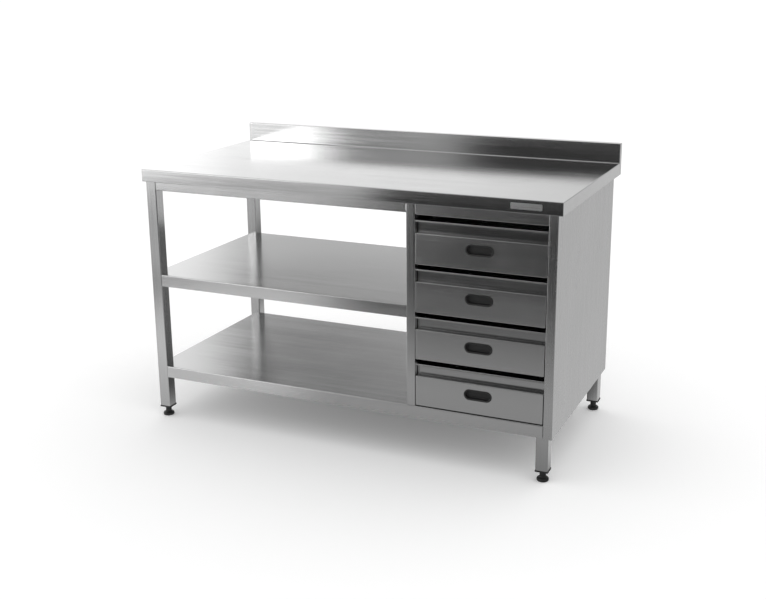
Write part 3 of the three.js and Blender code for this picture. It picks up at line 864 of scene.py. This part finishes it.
def floor_ahead(g, x, ahead):
    """Radiance of the mirrored floor in front of the table, in units of RAMP_TOP."""
    reach = FLOOR_AHEAD[-1][0]
    along = g.math("DIVIDE", ahead, reach)
    front = g.ramp(along, [(distance / reach, here) for distance, here, _ in FLOOR_AHEAD], "front")
    side = g.ramp(along, [(distance / reach, there) for distance, _, there in FLOOR_AHEAD], "side")
    left = g.spread(g.math("MULTIPLY_ADD", ahead, LEFT_SLANT, x), *LEFT_LIGHT, 0.0, 1.0, smooth=True)
    lit = g.math("MULTIPLY_ADD", left, g.math("SUBTRACT", side, front), front)

    aside, astray = [g.math("ABSOLUTE", g.math("SUBTRACT", value, middle))
                     for value, middle in zip((x, ahead), CARD_MIDDLE)]
    on_card = g.math("MULTIPLY", g.spread(aside, CARD_HALF[0], CARD_HALF[0] + CARD_BLUR, 1.0, 0.0),
                     g.spread(astray, CARD_HALF[1], CARD_HALF[1] + CARD_BLUR, 1.0, 0.0))
    lit = g.math("MULTIPLY", lit, g.math("MULTIPLY_ADD", on_card, -CARD_SHADE, 1.0))

    start, full, radiance = FAR_LEFT
    far_left = g.spread(x, start, full, 0.0, radiance / RAMP_TOP, smooth=True)
    return g.math("MAXIMUM", lit, far_left)


def add_mirrored_floor():
    """What steel mirrors of the floor: lit round the table and from the left, and dark towards the front."""
    floor = flat_sheet("mirrored_floor", 20, cad_low.z - 0.0010)
    material, g = new_material("mirrored_floor")
    x, y, _ = g.parts(g.place())
    ahead = g.math("MAXIMUM", g.math("SUBTRACT", cad_low.y, y), 0.0)
    lit = floor_ahead(g, x, ahead)

    behind = g.spread(y, *REAR_START, 0.0, 1.0, smooth=True)
    from_bay = g.math("ABSOLUTE", g.math("SUBTRACT", x, BAY_MIDDLE))
    rear = g.spread(from_bay, *BAY_REACH, REAR_DARK / RAMP_TOP, REAR_LIGHT / RAMP_TOP, smooth=True)
    light = g.math("MULTIPLY_ADD", behind, g.math("SUBTRACT", rear, lit), lit)

    beside = g.math("SUBTRACT", g.math("ABSOLUTE", x), cad_high.x)
    outside = g.math("MAXIMUM", beside, g.math("SUBTRACT", g.math("ABSOLUTE", y), cad_high.y))
    shadow = g.spread(outside, *SHADOW_REACH, SHADOW_DEPTH, 1.0, smooth=True)
    light = g.math("MULTIPLY", light, shadow)
    shader = g.node("ShaderNodeEmission", Strength=g.math("MULTIPLY", light, RAMP_TOP))
    g.node("ShaderNodeOutputMaterial", Surface=shader.outputs[0])
    floor.data.materials.append(material)
    floor.visible_camera = False
    floor.visible_diffuse = False
    floor.visible_shadow = False


def add_world():
    """White studio, which the steel mirrors as uneven walls."""
    world = bpy.data.worlds.new("studio")
    world.use_nodes = True
    g = Graph(world.node_tree)
    x, y, z = g.parts(g.node("ShaderNodeTexCoord").outputs["Generated"])
    turn = g.math("ARCTAN2", g.math("MULTIPLY", x, -1.0), y)
    bearing = g.math("FRACT", g.math("DIVIDE", turn, math.tau))
    low = g.ramp(bearing, [(angle / 360, near) for angle, near, _ in WALLS], "low")
    high = g.ramp(bearing, [(angle / 360, above) for angle, _, above in WALLS], "high")
    rise = g.spread(z, *WALL_RISE, 0.0, 1.0, smooth=True)
    walls = g.math("MULTIPLY_ADD", rise, g.math("SUBTRACT", high, low), low)
    walls = g.math("MULTIPLY", walls, RAMP_TOP)
    mirrored = g.node("ShaderNodeLightPath").outputs["Is Glossy Ray"]
    strength = g.math("MULTIPLY_ADD", mirrored, g.math("SUBTRACT", walls, 1.0), 1.0)
    shader = g.node("ShaderNodeBackground", Color=grey(1.0), Strength=strength)
    g.node("ShaderNodeOutputWorld", Surface=shader.outputs[0])
    bpy.context.scene.world = world


def add_overhead_light():
    """Softbox over the table, which the camera doesn't see."""
    width, height = OVERHEAD_SIZE
    data = bpy.data.lights.new("overhead", "AREA")
    data.shape = "RECTANGLE"
    data.size, data.size_y = width, height
    data.energy = OVERHEAD_LIGHT * math.pi * width * height
    light = bpy.data.objects.new("overhead", data)
    light.location = OVERHEAD_PLACE
    aim = Vector(OVERHEAD_TARGET) - Vector(OVERHEAD_PLACE)
    light.rotation_euler = aim.to_track_quat("-Z", "Y").to_euler()
    light.visible_camera = False
    bpy.context.scene.collection.objects.link(light)


materials = make_materials()
finish_cad_nodes(materials)
add_pieces(materials)
add_camera()
add_world()
add_floor()
add_mirrored_floor()
add_overhead_light()
bpy.context.scene.view_settings.view_transform = "Standard"
